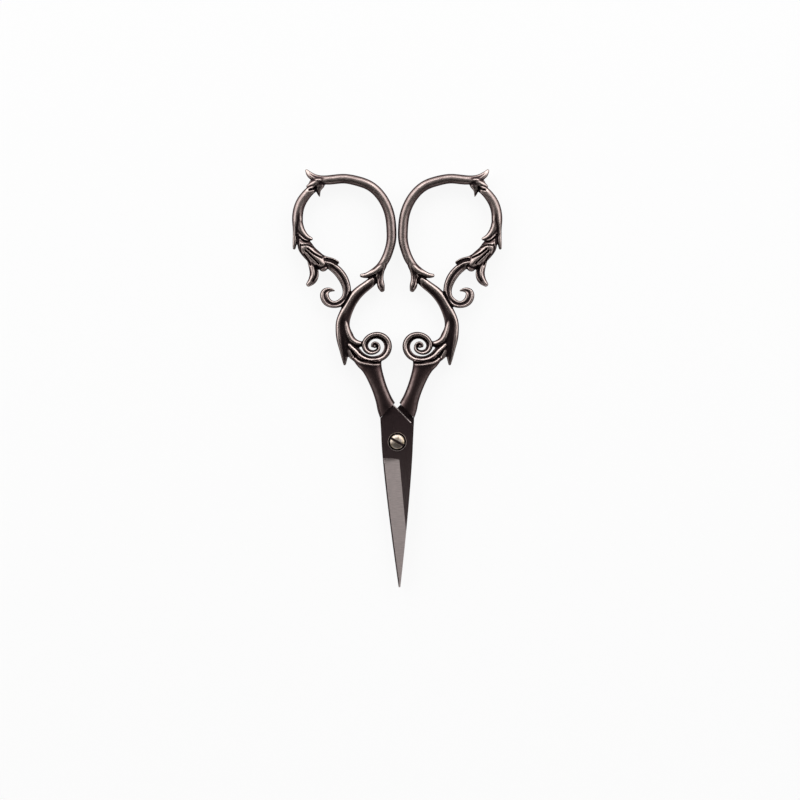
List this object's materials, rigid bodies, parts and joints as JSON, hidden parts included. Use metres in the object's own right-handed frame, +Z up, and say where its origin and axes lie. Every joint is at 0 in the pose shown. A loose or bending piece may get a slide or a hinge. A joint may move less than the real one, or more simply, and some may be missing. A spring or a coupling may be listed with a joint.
{
  "type": "sewing scissors",
  "caption": "Ornate embroidery scissors that open and close: pointed steel blades on a slotted pivot screw, with cast openwork scroll handles and finger rings.",
  "frame": {"origin": "middle of the closed scissors' box, on the surface that they lie on", "axes": "the scissors lie flat and closed: +Y towards the finger rings, blades towards -Y, +Z up through the screw's head, +X to the right of someone who looks down on the screw's head"},
  "size_m": [0.0626, 0.1246, 0.0053],
  "materials": {
    "blade_steel": "dark plated steel with a bright ground bevel",
    "gunmetal_casting": "polished dark gunmetal plating over a zinc casting",
    "screw_brass": "nickel-plated brass, polished"
  },
  "bodies": {
    "rear_half": {"rear_blade": "blade_steel", "right_handle": "gunmetal_casting", "pivot_screw": "screw_brass"},
    "front_half": {"front_blade": "blade_steel", "left_handle": "gunmetal_casting"}
  },
  "joints": [
    {"name": "pivot", "type": "hinge", "parent": "rear_half", "child": "front_half", "pos_m": [0, -0.01886, 0.0026], "axis": [0, 0, 1], "range_deg": [0, 110]}
  ]
}
